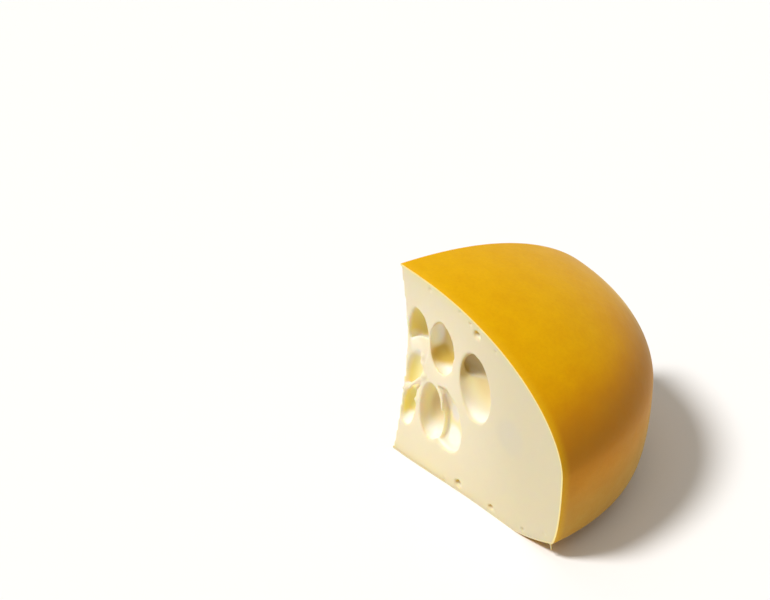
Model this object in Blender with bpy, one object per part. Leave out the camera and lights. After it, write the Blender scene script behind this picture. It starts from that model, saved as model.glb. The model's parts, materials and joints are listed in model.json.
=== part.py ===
"""A quarter wedge cut from a domed, large-eyed cheese wheel, in metres.

The wedge stands on the flat of its underside, +Z up. Its front cut face looks along -Y and its
side cut face along -X, and the origin is the middle of its box, on the surface that it stands on.
"""

import math

import bmesh
import bpy
from mathutils import Matrix, Vector

MM = 0.001

# The wheel that the wedge was cut from
WHEEL_RADIUS = 175 * MM
CROWN_HEIGHT = 149 * MM
WAIST_HEIGHT = 66.5 * MM  # where the wheel is widest
CROWN_FULLNESS = (2.27, 1.79)  # superellipse powers, along the radius and along the height
FOOT_RADIUS = 165 * MM  # the corner between the side and the underside
FOOT_HEIGHT = 10.5 * MM
SIDE_FULLNESS = (2.14, 1.96)
FLAT_RADIUS = 124 * MM  # the underside is flat out to here
HEEL_POWER = 1.5  # how the underside lifts from the flat to the foot

# The cut
WEDGE_ANGLE = math.radians(86.7)
TIP_FLARE = 5 * MM  # the tip spreads on the table
TIP_FLARE_POWER = 1.2  # how quickly that fades upwards
TIP_HOLLOW = 4.5 * MM  # and is drawn in above, where eyes leave it a thin wall
TIP_TURN_HEIGHT = 35 * MM
TIP_REACH = 95 * MM  # how far along a cut face the tip's curve is felt

# Steps of the mesh
CROWN_STEPS = 22
SIDE_STEPS = 12
HEEL_STEPS = 4
TURN_STEPS = 34
FACE_STEPS = 6
LARGE_EYE_STEPS = (22, 13)
SMALL_EYE_STEPS = (10, 6)
SHARP_ANGLE = math.radians(35)  # an edge that turns by more stays crisp

FRONT, SIDE = "front", "side"

# Gas eyes as (along, up, width, height, lean, depth, sink), in millimetres and degrees: along is
# from the tip and up from the table, width and height are the mouth's, lean tips its top towards
# the tip, depth is half the bubble's thickness, and sink is how far its middle lies behind the cut.
EYES = {
    FRONT: {
        "tip_top": (17.3, 103.5, 23.5, 34, 0, 12, 3),
        "tip_middle": (16.5, 84, 20, 34, -6, 8, 1),
        "tip_hollow": (12.2, 66, 13.5, 32, -20, 10, 2),
        "tip_bottom": (9.9, 39.7, 14.5, 32, -10, 10, 2),
        "upper": (44.5, 101.6, 29, 41, -6, 14, 4),
        "great": (82.6, 89.5, 34, 51.6, 5, 15, 3),
        "lower_inner": (34.3, 47, 27, 46, -1, 13, 3),
        "lower_outer": (56.0, 43.5, 27, 37, 2, 12, 2),
        "lower_outer_neck": (56.8, 57, 17.5, 31, 7, 10, 2),
    },
    SIDE: {
        "tip_low": (18.0, 75, 14, 33, -6, 5, -1),
        "round": (32.0, 108, 21, 28, 0, 8, 1),
        "slit": (58.0, 118, 22, 6.5, -17, 9, 2),
        "great": (47.0, 60, 33, 57, 4, 15, 3),
        "behind_great": (65.0, 79, 19, 34, 8, 15, 7),
        "outer": (104.0, 68, 27, 39, 10, 13, 3),
    },
}

# Pin eyes lie in a row under the crown and another above the underside, as (along, up, width).
PIN_EYES = {
    FRONT: (
        (32.5, 143.0, 3.0),
        (65.0, 140.6, 2.2),
        (76.5, 137.0, 3.0),
        (83.5, 131.5, 7.0),
        (103.5, 128.5, 2.4),
        (51.0, 4.4, 2.4),
        (66.0, 6.6, 7.0),
        (101.5, 7.4, 6.0),
        (134.5, 9.5, 3.0),
        (157.0, 17.0, 2.4),
    ),
    SIDE: (
        (34.5, 139.5, 3.2),
        (119.0, 108.0, 9.5),
        (107.8, 125.0, 4.0),
        (133.0, 113.5, 2.8),
        (142.4, 107.0, 2.8),
        (26.0, 6.2, 6.0),
        (44.0, 8.4, 8.5),
        (61.0, 8.2, 5.0),
        (112.0, 6.5, 4.0),
    ),
}
PIN_EYE_DEPTH = 0.6  # half its thickness, as a share of its width
PIN_EYE_RISE = 0.4  # half its height, as a share of its width


def remove_everything():
    for thing in list(bpy.data.objects):
        bpy.data.objects.remove(thing, do_unlink=True)


def quarter_turn(steps):
    """Angles from nothing to a quarter turn."""
    return [math.pi / 2 * i / steps for i in range(steps + 1)]


def wheel_profile():
    """(radius, height) down the wheel's outside, from the top of the axis to the edge of the flat."""
    along, up = CROWN_FULLNESS
    rise = CROWN_HEIGHT - WAIST_HEIGHT
    crown = [
        (
            WHEEL_RADIUS * math.sin(t) ** (2 / along),
            WAIST_HEIGHT + rise * math.cos(t) ** (2 / up),
        )
        for t in quarter_turn(CROWN_STEPS)
    ]
    out, down = SIDE_FULLNESS
    tuck, drop = WHEEL_RADIUS - FOOT_RADIUS, WAIST_HEIGHT - FOOT_HEIGHT
    side = [
        (
            FOOT_RADIUS + tuck * math.cos(t) ** (2 / out),
            WAIST_HEIGHT - drop * math.sin(t) ** (2 / down),
        )
        for t in quarter_turn(SIDE_STEPS)
    ]
    heel = []
    for i in range(HEEL_STEPS, -1, -1):
        share = i / HEEL_STEPS
        radius = FLAT_RADIUS + share * (FOOT_RADIUS - FLAT_RADIUS)
        heel.append((radius, FOOT_HEIGHT * share**HEEL_POWER))
    return crown + side[1:] + heel[1:]


def tip_shift(radius, height):
    """How far a point near the tip lies towards the middle of the wedge, along its bisector."""
    if height < TIP_TURN_HEIGHT:
        shift = -TIP_FLARE * (1 - height / TIP_TURN_HEIGHT) ** TIP_FLARE_POWER
    else:
        span = CROWN_HEIGHT - TIP_TURN_HEIGHT
        share = min((height - TIP_TURN_HEIGHT) / span, 1)
        shift = TIP_HOLLOW * math.sin(math.pi * share)
    felt = math.cos(math.pi / 2 * min(radius / TIP_REACH, 1)) ** 2
    return shift * felt


def wedge_point(radius, azimuth, height):
    """A point of the wedge from its place on the wheel."""
    bisector = Vector((math.cos(WEDGE_ANGLE / 2), math.sin(WEDGE_ANGLE / 2), 0))
    on_wheel = Vector((radius * math.cos(azimuth), radius * math.sin(azimuth), height))
    return on_wheel + bisector * tip_shift(radius, height)


def box_corner():
    """The wheel's axis, seen from the middle of the wedge's box."""
    flare_x = TIP_FLARE * math.cos(WEDGE_ANGLE / 2)
    flare_y = TIP_FLARE * math.sin(WEDGE_ANGLE / 2)
    reach_y = WHEEL_RADIUS * math.sin(WEDGE_ANGLE)
    return Vector(((flare_x - WHEEL_RADIUS) / 2, (flare_y - reach_y) / 2, 0))


def cheese_material():
    material = bpy.data.materials.new("cheese")
    material.use_nodes = True
    shader = material.node_tree.nodes["Principled BSDF"]
    shader.inputs["Base Color"].default_value = (0.84, 0.72, 0.42, 1)
    shader.inputs["Roughness"].default_value = 0.42
    shader.inputs["Metallic"].default_value = 0
    return material


def uncut_wedge():
    """The sector of the wheel, before its eyes: crown, side and underside, and the two cut faces."""
    profile = wheel_profile()
    mesh = bmesh.new()
    axis_top = mesh.verts.new(wedge_point(0, 0, CROWN_HEIGHT))
    azimuths = [WEDGE_ANGLE * j / TURN_STEPS for j in range(TURN_STEPS + 1)]
    rings = [
        [mesh.verts.new(wedge_point(r, a, z)) for a in azimuths] for r, z in profile[1:]
    ]

    # Crown, side and heel
    for near, far in zip(rings[0], rings[0][1:]):
        mesh.faces.new((axis_top, near, far))
    for upper, lower in zip(rings, rings[1:]):
        for j in range(TURN_STEPS):
            mesh.faces.new((upper[j], lower[j], lower[j + 1], upper[j + 1]))

    # The tip's edge, one point for each ring, and a cut face of level rows on each side of it
    tip = [mesh.verts.new(wedge_point(0, 0, z)) for r, z in profile[1:]]
    face_rows = {}
    for side, azimuth, end in ((FRONT, 0, 0), (SIDE, WEDGE_ANGLE, -1)):
        rows = []
        for i, (radius, height) in enumerate(profile[1:]):
            inner = [
                mesh.verts.new(wedge_point(radius * k / FACE_STEPS, azimuth, height))
                for k in range(1, FACE_STEPS)
            ]
            rows.append([tip[i], *inner, rings[i][end]])
        face_rows[side] = rows
        for upper, lower in zip([[axis_top] * (FACE_STEPS + 1)] + rows, rows):
            for k in range(FACE_STEPS):
                corners = [upper[k], lower[k], lower[k + 1], upper[k + 1]]
                if side == SIDE:
                    corners.reverse()
                mesh.faces.new(list(dict.fromkeys(corners)))

    # The flat that it stands on
    outline = face_rows[FRONT][-1] + rings[-1][1:-1] + face_rows[SIDE][-1][:0:-1]
    mesh.faces.new(list(reversed(outline)))

    data = bpy.data.meshes.new("cheese_wedge")
    mesh.to_mesh(data)
    mesh.free()
    data.transform(Matrix.Translation(box_corner()))
    wedge = bpy.data.objects.new("cheese_wedge", data)
    bpy.context.scene.collection.objects.link(wedge)
    data.materials.append(cheese_material())
    return wedge


def face_frame(side):
    """The wheel's axis, with X running out along a cut face and Y into the cheese."""
    if side == FRONT:
        return Matrix.Translation(box_corner())
    out = Vector((math.cos(WEDGE_ANGLE), math.sin(WEDGE_ANGLE), 0))
    inward = Vector((math.sin(WEDGE_ANGLE), -math.cos(WEDGE_ANGLE), 0))
    turned = Matrix((out, inward, Vector((0, 0, 1)))).transposed().to_4x4()
    return Matrix.Translation(box_corner()) @ turned


def bubble(name, side, centre, radii, lean, steps, cutters):
    """One gas bubble, as an ellipsoid that the eye is cut with."""
    mesh = bmesh.new()
    bmesh.ops.create_uvsphere(mesh, u_segments=steps[0], v_segments=steps[1], radius=1)
    stretched = Matrix.Diagonal((*radii, 1))
    leaned = Matrix.Rotation(-math.radians(lean), 4, "Y")
    placed = face_frame(side) @ Matrix.Translation(centre) @ leaned @ stretched
    mesh.transform(placed)
    mesh.normal_update()
    bmesh.ops.recalc_face_normals(mesh, faces=mesh.faces)
    data = bpy.data.meshes.new(name)
    mesh.to_mesh(data)
    mesh.free()
    cutter = bpy.data.objects.new(name, data)
    cutter.hide_render = True
    cutter.display_type = "WIRE"
    cutters.objects.link(cutter)


def place_of(along, up, sink):
    """The middle of a bubble, in the frame of its cut face."""
    behind = tip_shift(along * MM, up * MM) * math.sin(WEDGE_ANGLE / 2)
    return Vector((along * MM, sink * MM + behind, up * MM))


def bubbles():
    """Every bubble that the knife went through, in a collection of cutters."""
    cutters = bpy.data.collections.new("bubbles")
    bpy.context.scene.collection.children.link(cutters)
    for side, eyes in EYES.items():
        for name, (along, up, width, height, lean, depth, sink) in eyes.items():
            mouth = math.sqrt(1 - (sink / depth) ** 2)
            radii = Vector((width / 2 / mouth, depth, height / 2 / mouth)) * MM
            centre = place_of(along, up, sink)
            bubble(f"{side}_{name}", side, centre, radii, lean, LARGE_EYE_STEPS, cutters)
        for i, (along, up, width) in enumerate(PIN_EYES[side]):
            radii = Vector((width / 2, width * PIN_EYE_DEPTH, width * PIN_EYE_RISE)) * MM
            centre = place_of(along, up, 0)
            bubble(f"{side}_pin_{i}", side, centre, radii, 0, SMALL_EYE_STEPS, cutters)
    return cutters


def cut_eyes(wedge, cutters):
    boolean = wedge.modifiers.new("eyes", "BOOLEAN")
    boolean.operation = "DIFFERENCE"
    boolean.solver = "EXACT"
    boolean.operand_type = "COLLECTION"
    boolean.collection = cutters


def main():
    remove_everything()
    wedge = uncut_wedge()
    cut_eyes(wedge, bubbles())
    wedge.data.shade_smooth()
    wedge.data.set_sharp_from_angle(angle=SHARP_ANGLE)


main()
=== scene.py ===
import json
import math

import bmesh
import bpy
import numpy as np
from mathutils import Matrix, Vector, noise

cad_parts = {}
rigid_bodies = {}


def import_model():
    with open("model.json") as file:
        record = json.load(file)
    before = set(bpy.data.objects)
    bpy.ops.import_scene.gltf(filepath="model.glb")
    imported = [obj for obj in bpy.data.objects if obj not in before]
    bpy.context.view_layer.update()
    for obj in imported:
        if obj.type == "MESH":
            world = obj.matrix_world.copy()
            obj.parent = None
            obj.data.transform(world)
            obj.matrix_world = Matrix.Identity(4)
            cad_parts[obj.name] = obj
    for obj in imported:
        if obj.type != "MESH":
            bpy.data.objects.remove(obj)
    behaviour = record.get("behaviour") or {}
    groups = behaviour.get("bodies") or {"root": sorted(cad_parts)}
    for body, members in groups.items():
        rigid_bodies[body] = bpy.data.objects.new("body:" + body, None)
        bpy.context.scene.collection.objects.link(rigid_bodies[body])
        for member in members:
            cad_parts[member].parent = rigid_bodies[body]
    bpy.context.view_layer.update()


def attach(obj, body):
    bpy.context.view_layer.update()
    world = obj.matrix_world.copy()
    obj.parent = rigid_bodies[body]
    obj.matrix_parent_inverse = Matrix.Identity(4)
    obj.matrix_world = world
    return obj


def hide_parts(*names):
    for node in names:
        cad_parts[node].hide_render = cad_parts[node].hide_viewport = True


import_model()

bpy.ops.object.select_all(action="DESELECT")


# The view of the wedge on its table: from in front and to the right, some 30 degrees above it,
# through a long lens.
camera_place, view_direction = (1.14150, -1.01112, 0.98999), (-0.69849, 0.51931, -0.49238)
bpy.ops.object.camera_add(location=camera_place)
camera = bpy.context.object
camera.rotation_euler = Vector(view_direction).to_track_quat("-Z", "Y").to_euler()
camera.data.lens = 120.77
camera.data.sensor_width = 36
camera.data.clip_end = 30
bpy.context.scene.camera = camera


# The paste is the pale, close, slightly springy inside of the wheel. The wheel was pressed and
# ripened into a dome, then cut through its axis twice, so that a quarter stands here. Its outside
# ends just under the rind's own, within the rind's thickness, so that no gap is left between them.
wheel_radius, crown_height, waist_height = 0.175, 0.149, 0.0665
foot_radius, foot_height, flat_radius = 0.165, 0.0105, 0.124
crown_fullness_across, crown_fullness_up = 2.27, 1.79
side_fullness_across, side_fullness_up = 2.14, 1.96
heel_curve = 1.5
sag_height, sag_reach, hollow_reach, tip_reach = 0.035, 0.005, 0.0045, 0.095
paste_inset = 0.0006
weld_distance = 0.00002
wedge_angle = math.radians(86.7)
axis = Vector((-0.085683, -0.085638, 0))
bisector = Vector((math.cos(wedge_angle / 2), math.sin(wedge_angle / 2), 0))


def wheel_outline(crown_steps, side_steps, heel_steps):
    """(radius, height) down the wheel's outside, from the top of its axis to the flat underneath."""
    points = []
    for t in np.linspace(0, math.pi / 2, crown_steps + 1):
        rise = (crown_height - waist_height) * max(math.cos(t), 0) ** (2 / crown_fullness_up)
        reach = wheel_radius * math.sin(t) ** (2 / crown_fullness_across)
        points.append((reach, waist_height + rise))
    for t in np.linspace(0, math.pi / 2, side_steps + 1)[1:]:
        tuck = (wheel_radius - foot_radius) * max(math.cos(t), 0) ** (2 / side_fullness_across)
        drop = (waist_height - foot_height) * math.sin(t) ** (2 / side_fullness_up)
        points.append((foot_radius + tuck, waist_height - drop))
    for share in np.linspace(1, 0, heel_steps + 1)[1:]:
        reach = flat_radius + share * (foot_radius - flat_radius)
        points.append((reach, foot_height * share**heel_curve))
    return points


def drawn_in(outline, by):
    """The same outline, moved into the cheese."""
    moved = []
    for i, (r, z) in enumerate(outline):
        before, after = outline[max(i - 1, 0)], outline[min(i + 1, len(outline) - 1)]
        dr, dz = after[0] - before[0], after[1] - before[1]
        length = math.hypot(dr, dz)
        moved.append((max(r + dz / length * by, 0), max(z - dr / length * by, by)))
    return moved


def tip_shift(radius, height):
    """The tip sags outwards on the table and is hollow above, where eyes leave thin walls."""
    if height < sag_height:
        shift = -sag_reach * (1 - max(height, 0) / sag_height) ** 1.2
    else:
        rise = (height - sag_height) / (crown_height - sag_height)
        shift = hollow_reach * math.sin(math.pi * min(rise, 1))
    return shift * math.cos(math.pi / 2 * min(radius / tip_reach, 1)) ** 2


def settle_tip(piece):
    """Move a piece's vertices along with the tip."""
    for vertex in piece.data.vertices:
        flat = Vector((vertex.co.x - axis.x, vertex.co.y - axis.y))
        vertex.co += bisector * tip_shift(flat.length, vertex.co.z)


def finish_modifiers(piece):
    """Apply a piece's modifiers, in their order."""
    bpy.context.view_layer.objects.active = piece
    for modifier in list(piece.modifiers):
        bpy.ops.object.modifier_apply(modifier=modifier.name)


outline = drawn_in(wheel_outline(60, 30, 12), paste_inset)
bpy.ops.mesh.primitive_grid_add(x_subdivisions=30, y_subdivisions=len(outline) - 1, size=1)
paste = bpy.context.object
paste.name = paste.data.name = "paste"
for vertex in paste.data.vertices:
    radius, height = outline[round((0.5 - vertex.co.y) * (len(outline) - 1))]
    vertex.co = axis + Vector(((vertex.co.x + 0.5) * radius, 0, height))
bpy.ops.object.mode_set(mode="EDIT")
bpy.ops.mesh.select_all(action="SELECT")
bpy.ops.mesh.spin(steps=90, angle=-wedge_angle, center=axis, axis=(0, 0, 1))
bpy.ops.mesh.select_all(action="SELECT")
bpy.ops.mesh.remove_doubles(threshold=weld_distance)
bpy.ops.mesh.normals_make_consistent(inside=False)
bpy.ops.object.mode_set(mode="OBJECT")
settle_tip(paste)


# Gas eyes: bubbles that swelled in the young paste and that the knife went through. They are
# smooth inside, a little out of round, and leave a soft lip on the cut.
def face_place(side, along, up, sink=0.0):
    """A point by its place on a cut face, in millimetres: from the tip, up, and into the cheese."""
    along, up, sink = along / 1000, up / 1000, sink / 1000
    behind = sink + tip_shift(along, up) * math.sin(wedge_angle / 2)
    if side == "front":
        return axis + Vector((along, behind, up))
    out = Vector((math.cos(wedge_angle), math.sin(wedge_angle), 0))
    return axis + out * along + Vector((out.y, -out.x, 0)) * behind + Vector((0, 0, up))


def face_turn(side, lean):
    """A turn into a cut face, leaning by some degrees along it."""
    turn = Matrix.Rotation(-math.radians(lean), 4, "Y")
    if side == "front":
        return turn
    out = Vector((math.cos(wedge_angle), math.sin(wedge_angle), 0))
    frame_of_side = Matrix((out, Vector((out.y, -out.x, 0)), Vector((0, 0, 1)))).transposed()
    return frame_of_side.to_4x4() @ turn


def blob(name, side, place, radii, lean, detail, unevenness, seed):
    """A rounded body, drawn out to its three radii and made slightly lumpy."""
    bpy.ops.mesh.primitive_ico_sphere_add(subdivisions=detail, radius=1)
    body = bpy.context.object
    body.name = name
    for vertex in body.data.vertices:
        lump = noise.noise(vertex.co * 1.1 + Vector((seed * 7.3, seed * 3.1, 0)))
        vertex.co *= 1 + unevenness * lump
    stretched = Matrix.Diagonal((*[r / 1000 for r in radii], 1))
    body.data.transform(Matrix.Translation(place) @ face_turn(side, lean) @ stretched)
    bpy.ops.object.mode_set(mode="EDIT")
    bpy.ops.mesh.select_all(action="SELECT")
    bpy.ops.mesh.normals_make_consistent(inside=False)
    bpy.ops.object.mode_set(mode="OBJECT")
    return body


def bubble(side, along, up, width, height, lean, depth, sink, seed, unevenness=0.07):
    """An eye by its mouth on the cut face, half its own depth and how far in its middle lies."""
    mouth = math.sqrt(1 - (sink / depth) ** 2)
    radii = (width / 2 / mouth, depth, height / 2 / mouth)
    place = face_place(side, along, up, sink)
    return blob("bubble", side, place, radii, lean, 5, unevenness, seed)


def gathered(name, bodies):
    """Bodies in a collection of their own."""
    group = bpy.data.collections.new(name)
    bpy.context.scene.collection.children.link(group)
    for body in bodies:
        for collection in list(body.users_collection):
            collection.objects.unlink(body)
        group.objects.link(body)
    return group


def combine(piece, group, operation):
    """Add a group of bodies to a piece, or cut them out of it, and remove the group."""
    boolean = piece.modifiers.new(group.name, "BOOLEAN")
    boolean.operation = operation
    boolean.solver = "MANIFOLD"
    boolean.operand_type = "COLLECTION"
    boolean.collection = group
    finish_modifiers(piece)
    for body in list(group.objects):
        bpy.data.objects.remove(body, do_unlink=True)
    bpy.data.collections.remove(group)


topmost = bubble("front", 17.0, 97.5, 23, 46, 0, 12, 0.5, 1)
combine(paste, gathered("topmost_eye", [topmost]), "DIFFERENCE")


# The walls between neighbouring eyes are only a millimetre or two thick. Beside the tip one is
# left standing as a tongue across the lower half of the topmost eye, with firm paste behind it.
def keep_behind(body, place, facing):
    """Cut a body off at a plane and close it there."""
    bpy.context.view_layer.objects.active = body
    bpy.ops.object.mode_set(mode="EDIT")
    bpy.ops.mesh.select_all(action="SELECT")
    bpy.ops.mesh.bisect(plane_co=place, plane_no=facing, use_fill=True, clear_outer=True)
    bpy.ops.object.mode_set(mode="OBJECT")


tongue = blob("tongue", "front", face_place("front", 27, 78.0, 2.2), (27, 1.4, 23.5), 0, 5, 0.03, 12)
keep_behind(tongue, face_place("side", 20, 80, 0.6), (-1, 0, 0))
backing = blob("backing", "front", face_place("front", 17, 76, 7.5), (16, 6, 19), 0, 5, 0.03, 13)
combine(paste, gathered("tongue", [tongue, backing]), "UNION")


# Low on the front face two eyes have nearly grown together. Above, a narrow strip of the face is
# left between them; below, the broken wall stands a little back as a thin straight rib.
inner = bubble("front", 33.4, 47.0, 24.4, 43.5, -1, 12, 2, 4, 0.03)
outer = bubble("front", 48.0, 49.8, 38.5, 50, 25, 6, 0.5, 5, 0.02)
strip = blob("strip", "front", face_place("front", 33, 58), (13.4, 20, 14.5), 0, 5, 0.02, 6)
shoulder = blob("shoulder", "front", face_place("front", 41, 81), (15, 20, 9.5), 0, 5, 0.02, 7)
rib = blob("rib", "front", face_place("front", 33.4, 46.5, 2), (13.6, 14, 22.8), -1, 5, 0.02, 4)
keep_behind(rib, face_place("front", 46, 42, 2.4), (0, -1, 0))
combine(outer, gathered("walls_left", [strip, shoulder, rib]), "DIFFERENCE")


# The other eyes of both cut faces. Most are deep and shaded inside, the greatest of the front face
# has a further hollow in its roof, and those beside the tip leave only thin walls of paste.
eyes = [
    blob("hollow", "front", face_place("front", 76.5, 101.5, 7.5), (14, 6, 11.5), 3, 5, 0.05, 17),
    bubble("front", 44.8, 102.2, 27.4, 39.5, -6, 10.5, 5, 2, 0.03),
    bubble("front", 82.0, 89.3, 34, 51.6, 5, 10.5, 0.5, 3, 0.03),
    bubble("front", 60.0, 59.0, 10.5, 21, 25, 4.6, 0, 16, 0.03),
    bubble("front", 13, 69, 19, 42, -14, 20, -14.5, 14, 0.04),
    bubble("front", 9.0, 40.5, 14, 32, -10, 7.5, 0.5, 15),
    bubble("side", 18.0, 75, 14, 33, -6, 5, -1, 6),
    bubble("side", 32.0, 108, 21, 28, 0, 8, 1, 7),
    bubble("side", 58.0, 118, 22, 6.5, -17, 9, 2, 8),
    bubble("side", 47.0, 60, 33, 57, 4, 15, 3, 9),
    bubble("side", 65.0, 79, 19, 34, 8, 15, 7, 10),
    bubble("side", 104.0, 68, 27, 39, 10, 13, 3, 11),
]
combine(paste, gathered("eyes", [inner, outer, *eyes]), "DIFFERENCE")


# Pin eyes: the smallest bubbles, a few millimetres across, strung in a row close under the
# rind of the crown and another above the underside.
pins = {
    "front": [
        (32.5, 143, 3), (65, 140.6, 2.4), (76.5, 137, 3), (83.5, 131.5, 7), (103.5, 128.5, 2.4),
        (52, 3, 2.6), (67, 5.6, 7), (102, 5, 5.6), (105, 3.8, 2.6), (136, 6, 3), (158.5, 14.7, 2.8),
    ],
    "side": [
        (34.5, 139.5, 3.2), (119, 108, 9.5), (107.8, 125, 4), (133, 113.5, 2.8), (142.4, 107, 2.8),
        (26, 6.2, 6), (44, 8.4, 8.5), (61, 8.2, 5), (112, 6.5, 4),
    ],
}
pin_eyes = []
softened_away = 0.2
for side, row in pins.items():
    for seed, (along, up, width) in enumerate(row):
        radii = (width * 0.5 + softened_away, width * 0.65, width * 0.42 + softened_away)
        place = face_place(side, along, up)
        pin_eyes.append(blob("pin_eye", side, place, radii, 0, 3, 0.25, seed + 20))
combine(paste, gathered("pin_eyes", pin_eyes), "DIFFERENCE")


# Torn curd: where the knife broke the thin walls, ragged nibs and strings of paste are left, each
# a row of uneven lumps that run together. A thin sliver also hangs from the outer bottom corner.
def torn_strip(side, start, end, thick, count, seed):
    """A ragged strand between two places on a cut face, each (along, up, sink)."""
    strand = []
    for i in range(count):
        share = i / (count - 1)
        wander = noise.noise_vector(Vector((seed, share * 4, 0))) * thick * 0.7
        along, up, sink = [a + (b - a) * share for a, b in zip(start, end)]
        size = thick * (0.75 + 0.5 * noise.noise(Vector((share * 5, seed, 0.5))))
        place = face_place(side, along + wander.x, up + wander.z, sink + wander.y)
        radii = (size * 1.2, size * 0.9, size)
        strand.append(blob("curd", side, place, radii, 20 * wander.x, 3, 0.5, seed + i))
    return strand


noise.seed_set(3)
curds = torn_strip("front", (24.0, 69.5, 0.4), (2.0, 50.0, 0.6), 2.2, 18, 31)
curds += torn_strip("front", (21.0, 84.5, 0.8), (19.0, 79.5, 1.2), 1.3, 4, 47)
curds += torn_strip("front", (21.0, 81.0, 0.3), (24.0, 70.0, 0.3), 1.7, 10, 53)
curds += torn_strip("front", (21.0, 52.0, 0.4), (16.0, 47.5, 0.8), 1.6, 6, 61)
curds += torn_strip("front", (43.9, 61.5, 0.8), (43.8, 58.5, 1.6), 0.9, 3, 71)
curds += torn_strip("front", (57.3, 92.5, 0.6), (56.8, 99.0, 1.4), 1.1, 6, 83)
curds += torn_strip("front", (163.6, 12.5, 1.0), (164.6, 6.2, 0.9), 1.25, 8, 97)
for piece in curds:
    piece.select_set(True)
paste.select_set(True)
bpy.context.view_layer.objects.active = paste
bpy.ops.object.join()


# Knife and ripening leave no hard edges in the paste, so its skin is drawn afresh over the whole
# body: lips of the eyes rounded and curds grown together. What the rind covers is left coarser.
remesh = paste.modifiers.new("skin", "REMESH")
remesh.mode = "VOXEL"
remesh.voxel_size = 0.00095
finish_modifiers(paste)


def places_of(piece):
    """Where each vertex lies on the wheel: its radius, height, and depth behind each cut face."""
    flat_list = np.empty(len(piece.data.vertices) * 3)
    piece.data.vertices.foreach_get("co", flat_list)
    x, y, z = (flat_list.reshape(-1, 3) - np.array(axis)).T
    radius = np.hypot(x, y)
    shift = np.array([tip_shift(*place) for place in zip(radius, z)]) * math.sin(wedge_angle / 2)
    side = x * math.sin(wedge_angle) - y * math.cos(wedge_angle) - shift
    return radius, z, y - shift, side


def skin_distance(radius, height, outline):
    """How far points lie from the wheel's outside."""
    ends = np.array(outline + [(0.0, outline[-1][1])])
    places = np.stack([radius, height], axis=1)
    nearest = np.full(len(places), wheel_radius)
    for start, end in zip(ends, ends[1:]):
        along = end - start
        share = np.clip(((places - start) @ along) / max(along @ along, 1e-12), 0, 1)
        away = np.linalg.norm(places - start - share[:, None] * along, axis=1)
        nearest = np.minimum(nearest, away)
    return nearest


radius, height, front_depth, side_depth = places_of(paste)
from_skin = skin_distance(radius, height, outline)
depth = np.minimum(front_depth, side_depth)
cut = paste.vertex_groups.new(name="cut")
hidden = paste.vertex_groups.new(name="hidden")
on_skin, off_skin, behind_lip = 0.0009, 0.0016, 0.004
under_rind = (from_skin < on_skin) & (depth > behind_lip)
hidden.add([int(i) for i in np.flatnonzero(under_rind)], 1, "REPLACE")
cut.add([int(i) for i in np.flatnonzero(from_skin > off_skin)], 1, "REPLACE")
soften = paste.modifiers.new("soften", "SMOOTH")
soften.factor = 0.5
soften.iterations = 4
soften.vertex_group = "cut"
thin = paste.modifiers.new("thin", "DECIMATE")
thin.vertex_group = "hidden"
thin.ratio = 0.55
finish_modifiers(paste)
bpy.ops.object.shade_smooth()

radius, height, front_depth, side_depth = places_of(paste)
from_skin = skin_distance(radius, height, outline)
depth = np.minimum(front_depth, side_depth)


def rising(values, start, end):
    """0 before start, 1 past end, and straight between."""
    return np.clip((values - start) / (end - start), 0, 1)


thin_wall = rising(side_depth, 0.0004, 0.0014) * (1 - rising(side_depth, 0.003, 0.013))
thin_wall *= rising(front_depth, 0.0008, 0.0033)
for name, values in (("from_rind", from_skin), ("in_eye", depth), ("thin_wall", thin_wall)):
    layer = paste.data.attributes.new(name, "FLOAT", "POINT")
    layer.data.foreach_set("value", values.astype(np.float32))


class Signal:
    """A number that a material's nodes work out. Python's operators on it add Math nodes."""

    def __init__(self, finish, socket):
        self.finish, self.socket = finish, socket

    def maths(self, operation, *values):
        return self.finish.node("ShaderNodeMath", {"operation": operation}, dict(enumerate(values)))

    def __add__(self, other):
        return self.maths("ADD", self, other)

    def __sub__(self, other):
        return self.maths("SUBTRACT", self, other)

    def __mul__(self, other):
        return self.maths("MULTIPLY", self, other)

    def __pow__(self, other):
        return self.maths("POWER", self, other)

    def __radd__(self, other):
        return self.maths("ADD", other, self)

    def __rsub__(self, other):
        return self.maths("SUBTRACT", other, self)

    def __rmul__(self, other):
        return self.maths("MULTIPLY", other, self)

    def fading(self, start, end):
        """1 before start, 0 past end, and smooth between."""
        values = {"Value": self, "From Min": start, "From Max": end, "To Min": 1.0, "To Max": 0.0}
        settings = {"interpolation_type": "SMOOTHSTEP"}
        return self.finish.node("ShaderNodeMapRange", settings, values)


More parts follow.
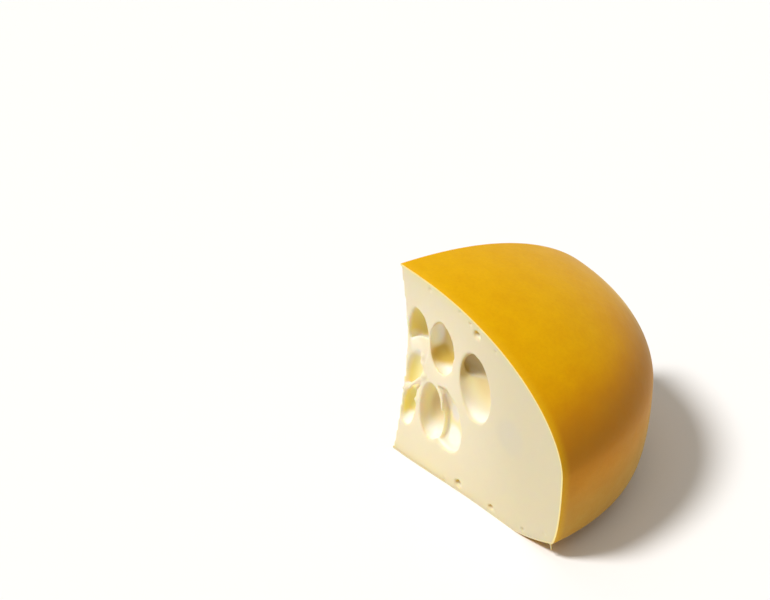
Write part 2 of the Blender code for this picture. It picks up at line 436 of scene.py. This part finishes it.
class Finish:
    """The nodes of a material, or of the room's light, added one by one."""

    def __init__(self, owner, shader="Principled BSDF"):
        owner.use_nodes = True
        self.owner, self.nodes = owner, owner.node_tree.nodes
        self.shader = self.nodes[shader]

    def feed(self, node, values):
        """Give a node's sockets their values, or link them to what is worked out."""
        for key, value in values.items():
            if isinstance(value, Signal):
                self.owner.node_tree.links.new(value.socket, node.inputs[key])
            else:
                node.inputs[key].default_value = value

    def node(self, kind, settings, values, output=0):
        """Any node: its settings first, then what its sockets hold or take."""
        node = self.nodes.new(kind)
        for key, value in settings.items():
            setattr(node, key, value)
        self.feed(node, values)
        return Signal(self, node.outputs[output])

    def blend(self, share, first, second):
        """A colour between two, by share."""
        pair = (first, second)
        first, second = [part if isinstance(part, Signal) else (*part, 1) for part in pair]
        settings = {"data_type": "RGBA"}
        return self.node("ShaderNodeMix", settings, {0: share, 6: first, 7: second}, 2)

    def mottle(self, place, size, detail=3.0, roughness=0.5, stretch=(1, 1, 1)):
        """Cloudy variation between 0 and 1, whose clouds are about size metres across."""
        mapped = self.node("ShaderNodeMapping", {}, {"Vector": place, "Scale": stretch})
        values = {"Vector": mapped, "Scale": 1 / size, "Detail": detail, "Roughness": roughness}
        return self.node("ShaderNodeTexNoise", {}, values)

    def relief(self, height, distance, strength, below=None):
        """Low bumps, up to distance metres high, on the relief below."""
        values = {"Height": height, "Distance": distance, "Strength": strength}
        if below:
            values["Normal"] = below
        return self.node("ShaderNodeBump", {}, values)


# The paste is ivory, yellower and older towards the rind and darker towards the outer end of the
# front face. Inside the eyes it is wetter and a little glossier; painted shade turns it golden under
# their roofs and deeper in, painted light turns it pale on the floor of each eye and golden where
# thin walls beside the tip are lit through, and painted shade turns the small holes golden too.
cream = Finish(bpy.data.materials.new("cheese_paste"))
place = cream.node("ShaderNodeTexCoord", {}, {}, "Object")
from_rind = cream.node("ShaderNodeAttribute", {"attribute_name": "from_rind"}, {}, "Fac")
in_eye = cream.node("ShaderNodeAttribute", {"attribute_name": "in_eye"}, {}, "Fac")
thin_wall = cream.node("ShaderNodeAttribute", {"attribute_name": "thin_wall"}, {}, "Fac")
clouds = cream.mottle(place, 0.03, 2.0)
fine_clouds = cream.mottle(place, 0.006, 3.0)
body_colour = cream.blend(clouds, (0.84, 0.745, 0.53), (0.87, 0.78, 0.57))
older = from_rind.fading(0, 0.05)
body_colour = cream.blend(older * 0.7, body_colour, (0.78, 0.685, 0.45))
ripened = from_rind.fading(0.001, 0.010) * (0.5 + 0.5 * fine_clouds)
body_colour = cream.blend(ripened * 0.6, body_colour, (0.80, 0.69, 0.37))
facing = cream.node("ShaderNodeNewGeometry", {}, {}, "Normal")
upwards = cream.node("ShaderNodeSeparateXYZ", {}, {"Vector": facing}, 2)
across = cream.node("ShaderNodeSeparateXYZ", {}, {"Vector": place}, 0)
body_colour = cream.blend(across.fading(-0.05, 0.06), (0.70, 0.615, 0.41), body_colour)
overhanging = upwards.fading(-0.1, 0.5)
# Painted shade: golden where the eyes overhang, out of the lamp's light.
painted_roof_shade = (1 - in_eye.fading(0.001, 0.006)) * overhanging
body_colour = cream.blend(painted_roof_shade * 0.8, body_colour, (0.96, 0.82, 0.37))
# Painted shade: a darker gold deeper in the eyes, under their roofs.
painted_deep_shade = (1 - in_eye.fading(0.0075, 0.011)) * overhanging
body_colour = cream.blend(painted_deep_shade * 0.9, body_colour, (0.76, 0.58, 0.27))
# Painted light: a golden glow where light shines through the thin walls beside the tip.
lit_through = thin_wall * upwards.fading(0.1, 0.6)
body_colour = cream.blend(lit_through, body_colour, (0.90, 0.76, 0.20))
# Painted shade: golden under the roofs of the small holes close to the rind.
painted_small_hole_shade = (1 - in_eye.fading(0.0004, 0.0018)) * from_rind.fading(0.008, 0.014) * overhanging
body_colour = cream.blend(painted_small_hole_shade, body_colour, (0.76, 0.58, 0.15))
# Painted light: paler where the bottoms of the eyes face up into the lamp's light.
painted_lit_floors = (1 - in_eye.fading(0.0006, 0.003)) * (1 - upwards.fading(0.25, 0.7))
body_colour = cream.blend(painted_lit_floors * 0.85, body_colour, (0.93, 0.89, 0.76))
near_foot = cream.node("ShaderNodeSeparateXYZ", {}, {"Vector": place}, 2).fading(0.001, 0.006)
body_colour = cream.blend(near_foot * 0.5, body_colour, (0.72, 0.61, 0.36))

# Soft painted light and shade in the eyes, where the paste is made paler, greyer or more golden than
# its surroundings, and one greyer patch on the open face. Each lies round a place on the front face,
# with its reach along, up and into the cheese, in millimetres.
painted_light_and_patches = [
    # A greyer patch on the open face.
    ((120.7, 71.3, 0), (18, 18, 18), 0.5, (0.66, 0.60, 0.46)),
    # Painted light on the tongue's wall, and painted shade in the pocket at its right.
    ((12, 90, 4), (14, 11, 8), 0.9, (0.93, 0.87, 0.70)),
    ((16.5, 89, 5), (4, 6, 4), 0.7, (0.84, 0.72, 0.32)),
    # In the eye right of the topmost: painted shade on its back wall, roof and deeper in, painted
    # light on its left wall.
    ((36, 90.5, 10), (15, 9, 14), 1.0, (0.72, 0.52, 0.11)),
    ((31, 106, 6), (6, 13, 8), 0.9, (0.95, 0.92, 0.82)),
    ((41, 104, 15), (11, 17, 8), 0.9, (0.92, 0.76, 0.33)),
    ((36, 119, 3), (12, 7, 7), 0.9, (0.84, 0.70, 0.34)),
    # Painted shade in the roof and on the left wall of the greatest eye.
    ((73, 104, 9), (30, 16, 20), 1.0, (0.68, 0.54, 0.28)),
    ((66, 99, 3), (5, 13, 7), 1.0, (0.62, 0.46, 0.18)),
    # In the outer low eye: painted shade on its neck and grey facet, painted light on its floor and
    # on the thin rib.
    ((48, 62, 5), (6, 12, 6), 1.0, (0.80, 0.69, 0.49)),
    ((55, 55, 7), (7, 10, 6), 0.9, (0.82, 0.755, 0.68)),
    ((55, 36, 6), (12, 11, 8), 0.8, (0.97, 0.95, 0.86)),
    ((47, 41, 4), (3, 14, 6), 0.9, (0.88, 0.81, 0.55)),
    # Painted light on the floor of the small eye by the tip's foot.
    ((9, 28, 3), (10, 8, 9), 0.9, (0.97, 0.93, 0.78)),
]
below_face = 1 - in_eye.fading(0.0002, 0.0012)
for (along, up, sink), (reach_along, reach_up, reach_in), strength, colour in painted_light_and_patches:
    middle = face_place("front", along, up, sink)
    reach = Vector((reach_along, reach_in, reach_up)) / 1000
    away = cream.node("ShaderNodeVectorMath", {"operation": "SUBTRACT"}, {0: place, 1: middle})
    away = cream.node("ShaderNodeVectorMath", {"operation": "DIVIDE"}, {0: away, 1: reach})
    away = cream.node("ShaderNodeVectorMath", {"operation": "LENGTH"}, {0: away}, 1)
    painted_share = away.fading(0.5, 1) * strength
    if sink:
        painted_share = painted_share * below_face
    body_colour = cream.blend(painted_share, body_colour, colour)
grain = cream.mottle(place, 0.0012, 4.0, 0.6)
drag = cream.mottle(place, 0.004, 2.0, 0.5, (1, 1, 0.25))
wavy = cream.relief(drag, 0.0002, 0.5)
skin = cream.relief(grain, 0.00008, 0.4, wavy)
cream.feed(cream.shader, {
    "Base Color": body_colour,
    "Roughness": 0.42 + 0.06 * in_eye.fading(0.0005, 0.003) + 0.08 * fine_clouds,
    "Normal": skin,
    "Subsurface Weight": 0.8,
    "Subsurface Radius": (1.0, 0.72, 0.28),
    "Subsurface Scale": 0.003,
    "Specular IOR Level": 0.45,
    "IOR": 1.45,
})
paste.data.materials.clear()
paste.data.materials.append(cream.owner)
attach(paste, "root")
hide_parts("cheese_wedge")


# The rind: the dried outside of the wheel under its brushed-on golden coating, one and a half
# millimetres thick and cut through together with the paste, so its edge shows as a pale line.
rind_thickness, worn_edge = 0.0015, 0.00025
outline = wheel_outline(80, 36, 16) + [(r, 0.0) for r in np.linspace(flat_radius, 0, 14)[1:]]
bpy.ops.mesh.primitive_circle_add(vertices=len(outline), radius=1, fill_type="NOTHING")
rind = bpy.context.object
rind.name = rind.data.name = "rind"
for vertex, (radius, height) in zip(rind.data.vertices, outline):
    vertex.co = axis + Vector((radius, 0, height))
bpy.ops.object.mode_set(mode="EDIT")
sheet = bmesh.from_edit_mesh(rind.data)
sheet.verts.ensure_lookup_table()
first, last = sheet.verts[0], sheet.verts[len(outline) - 1]
bmesh.ops.delete(sheet, geom=[e for e in first.link_edges if e in last.link_edges], context="EDGES")
bmesh.update_edit_mesh(rind.data)
bpy.ops.mesh.select_all(action="SELECT")
bpy.ops.mesh.spin(steps=110, angle=-wedge_angle, center=axis, axis=(0, 0, 1))
bpy.ops.mesh.select_all(action="SELECT")
bpy.ops.mesh.remove_doubles(threshold=weld_distance)
bpy.ops.mesh.normals_make_consistent(inside=False)
bpy.ops.object.mode_set(mode="OBJECT")
settle_tip(rind)

golden = Finish(bpy.data.materials.new("golden_rind"))
place = golden.node("ShaderNodeTexCoord", {}, {}, "Object")
height_of = golden.node("ShaderNodeSeparateXYZ", {}, {"Vector": place}, 2)
clouds = golden.mottle(place, 0.05, 3.0)
streaks = golden.mottle(place, 0.02, 4.0, 0.6, (1, 1, 2.5))
from_crown = (height_of + 0.03 * clouds).fading(0.09, 0.155)
painted_table_light_by_foot = (height_of + 0.02 * clouds).fading(0.03, 0.085)
coat_colour = golden.blend(from_crown, (0.80, 0.43, 0.0015), (0.73, 0.275, 0.001))
# Painted shade: a darker brown band round the side of the rind, where it turns away from the lamp.
painted_shade_band = (1 - height_of.fading(0.05, 0.08)) * (height_of + 0.02 * clouds).fading(0.092, 0.128)
coat_colour = golden.blend(painted_shade_band * 0.8, coat_colour, (0.47, 0.18, 0.012))
# Painted light: more tan and less saturated towards the foot, standing in for the white table's
# light thrown up onto it.
coat_colour = golden.blend(painted_table_light_by_foot, coat_colour, (0.61, 0.345, 0.06))
blotches = golden.mottle(place, 0.013, 3.0, 0.6, (1, 1, 0.6)) * from_crown
coat_colour = golden.blend((blotches * 2 - 0.7) * 0.35, coat_colour, (0.52, 0.25, 0.02))
coat_colour = golden.blend((streaks * 1.6 - 0.45) * 0.35, coat_colour, (0.60, 0.21, 0.001))
# Painted light: the rind is a brighter gold close to the front cut, where light comes through its
# cut edge.
behind_cut = golden.node("ShaderNodeSeparateXYZ", {}, {"Vector": place}, 1) - axis.y
painted_glow_by_cut = behind_cut.fading(0.001, 0.008)
coat_colour = golden.blend(painted_glow_by_cut * 0.6, coat_colour, (0.86, 0.47, 0.01))
pebbles = golden.mottle(place, 0.0022, 3.0, 0.55)
coat_colour = golden.blend(pebbles.fading(0.35, 0.6) * 0.1, coat_colour, (0.55, 0.22, 0.002))
brushed = golden.mottle(place, 0.009, 2.0, 0.5)
swell = golden.relief(brushed, 0.0006, 0.5)
pebbled = golden.relief(pebbles, 0.0002, 0.5, swell)
golden.feed(golden.shader, {
    "Base Color": coat_colour,
    "Roughness": 0.38 + 0.12 * streaks,
    "Normal": pebbled,
    "Subsurface Weight": 0.1,
    "Subsurface Radius": (1.0, 0.45, 0.08),
    "Subsurface Scale": 0.0015,
    "Specular IOR Level": 0.03,
    "Coat Weight": 0.25 * height_of.fading(0.03, 0.11),
    "Coat Roughness": 0.42,
    "Sheen Weight": 0.25,
    "Sheen Roughness": 0.3,
    "Sheen Tint": (1, 0.88, 0.35, 1),
    "IOR": 1.47,
})
cut_rind = Finish(bpy.data.materials.new("cut_rind"))
place = cut_rind.node("ShaderNodeTexCoord", {}, {}, "Object")
clouds = cut_rind.mottle(place, 0.004, 3.0)
cut_colour = cut_rind.blend(clouds, (0.96, 0.74, 0.24), (0.98, 0.82, 0.36))
# Painted shade: the pale cut line turns darker and greyer low down, close to the table.
painted_low_shade = cut_rind.node("ShaderNodeSeparateXYZ", {}, {"Vector": place}, 2).fading(0.003, 0.02)
cut_rind.feed(cut_rind.shader, {
    "Base Color": cut_rind.blend(painted_low_shade * 0.9, cut_colour, (0.70, 0.60, 0.40)),
    "Roughness": 0.4 + 0.1 * clouds,
    "Subsurface Weight": 0.3,
    "Subsurface Radius": (1.0, 0.5, 0.1),
    "Subsurface Scale": 0.002,
})
rind.data.materials.append(golden.owner)
rind.data.materials.append(cut_rind.owner)
thicken = rind.modifiers.new("thickness", "SOLIDIFY")
thicken.thickness = rind_thickness
thicken.offset = -1
thicken.material_offset_rim = 1
finish_modifiers(rind)
bevel = rind.modifiers.new("worn_edge", "BEVEL")
bevel.width = worn_edge
bevel.segments = 2
bevel.limit_method = "ANGLE"
bevel.angle_limit = math.radians(50)
finish_modifiers(rind)
bpy.ops.object.select_all(action="DESELECT")
rind.select_set(True)
bpy.ops.object.shade_smooth_by_angle(angle=math.radians(40))
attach(rind, "root")


# The table is plain white. A soft lamp stands high at the front left, so the shadow falls away
# behind on the right. A bright pale backdrop beyond the table, the ceiling and a dim window on
# the right fill the shade.
below_wedge = 0.0001
bpy.ops.mesh.primitive_plane_add(size=12, location=(0, 0, -below_wedge))
table = bpy.context.object
table.name = "table"
white = Finish(bpy.data.materials.new("white_table"))
white.feed(white.shader, {"Base Color": (0.93, 0.925, 0.915, 1), "Roughness": 0.7})
table.data.materials.append(white.owner)

to_lamp = Vector((-0.235, -0.508, 0.829))
bpy.ops.object.light_add(type="SUN", location=to_lamp * 2)
lamp = bpy.context.object
lamp.rotation_euler = to_lamp.to_track_quat("Z", "Y").to_euler()
lamp.data.angle = math.radians(17)
lamp.data.energy = 2.9
lamp.data.color = (1, 0.99, 0.99)

room = bpy.data.worlds.new("room")
bpy.context.scene.world = room
fill = Finish(room, "Background")
look = fill.node("ShaderNodeTexCoord", {}, {}, "Generated")


def towards(way):
    """How far a look goes one way, from 0 for sideways or away from it to 1 for straight at it."""
    share = fill.node("ShaderNodeVectorMath", {"operation": "DOT_PRODUCT"}, {0: look, 1: way}, 1)
    return fill.node("ShaderNodeClamp", {}, {"Value": share})


ceiling = towards((0, 0, 1))
backdrop = towards((-0.455, 0.89, 0)) ** 2 * ceiling.fading(0.15, 0.5)
window = towards((0.9, 0, 0.43))
brightness = 1.85 * backdrop + 0.46 * ceiling**2 + 0.2 * window
fill.feed(fill.shader, {"Color": (1, 0.985, 0.91, 1), "Strength": brightness})
bpy.context.scene.view_settings.view_transform = "Standard"
